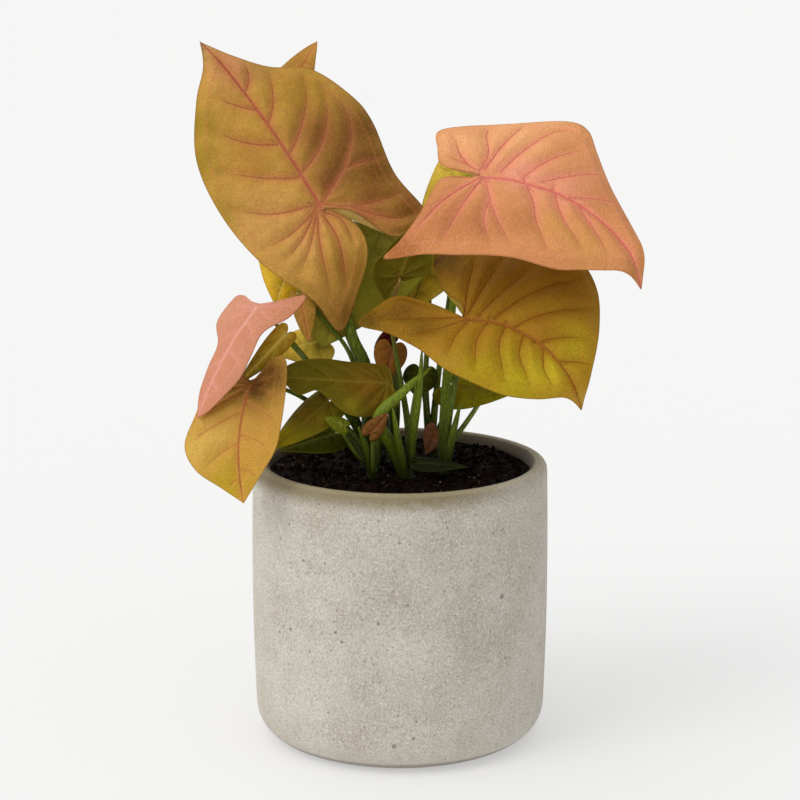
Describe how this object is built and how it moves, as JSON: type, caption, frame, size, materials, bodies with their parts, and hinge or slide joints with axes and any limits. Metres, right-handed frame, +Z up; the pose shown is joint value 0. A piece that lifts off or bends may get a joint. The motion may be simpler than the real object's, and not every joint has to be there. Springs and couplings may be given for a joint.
{
  "type": "arrowhead plant in concrete pot",
  "caption": "Potted arrowhead plant with pink, ochre and lime arrow-shaped leaves on slender stalks in a plain round concrete pot.",
  "frame": {"origin": "on the floor under the middle of the pot's flat base", "axes": "+Z up, -Y towards the front that the picture shows, +X to the right seen from there"},
  "size_m": [0.1852, 0.1534, 0.2949],
  "materials": {
    "concrete": "fine cast concrete, matt, mottled warm grey, khaki at the rim",
    "soil": "dark crumbly potting mix with fibres",
    "stalk": "smooth green stalk, slightly waxy",
    "ochre_pink": "ochre leaf with pink veins, satin",
    "salmon": "salmon pink leaf with rose veins, satin",
    "bronze_lime": "bronze leaf going to lime, satin",
    "pink": "pink leaf with pale pink veins, satin",
    "tan": "tan leaf going to yellow green at the tip, satin",
    "gold": "golden yellow leaf, satin",
    "lime": "yellow green leaf, satin",
    "green": "mid green leaf, satin",
    "olive": "olive leaf, satin",
    "brown": "pinkish brown young leaf, satin",
    "dark_red": "dark red young leaf, satin"
  },
  "bodies": {
    "root": {"pot": "concrete", "soil": "soil", "shoot_left_front": "stalk", "shoot_left": "stalk", "shoot_back": "stalk", "shoot_front": "stalk", "shoot_right": "stalk", "shoot_back_right": "stalk", "blade_a": "ochre_pink", "blade_b": "salmon", "blade_c": "bronze_lime", "blade_d": "pink", "blade_d2": "lime", "blade_e": "tan", "blade_f": "tan", "blade_g": "lime", "blade_h": "gold", "blade_h2": "tan", "blade_i": "green", "blade_j": "olive", "blade_k": "olive", "blade_l": "tan", "blade_m": "olive", "blade_n": "bronze_lime", "blade_o": "green", "blade_p": "brown", "blade_p2": "dark_red", "blade_r1": "olive", "blade_r2": "green", "blade_s": "lime", "blade_t1": "green", "blade_t2": "brown", "blade_t3": "brown", "blade_v1": "lime", "blade_v2": "green", "blade_v3": "bronze_lime"}
  },
  "joints": []
}
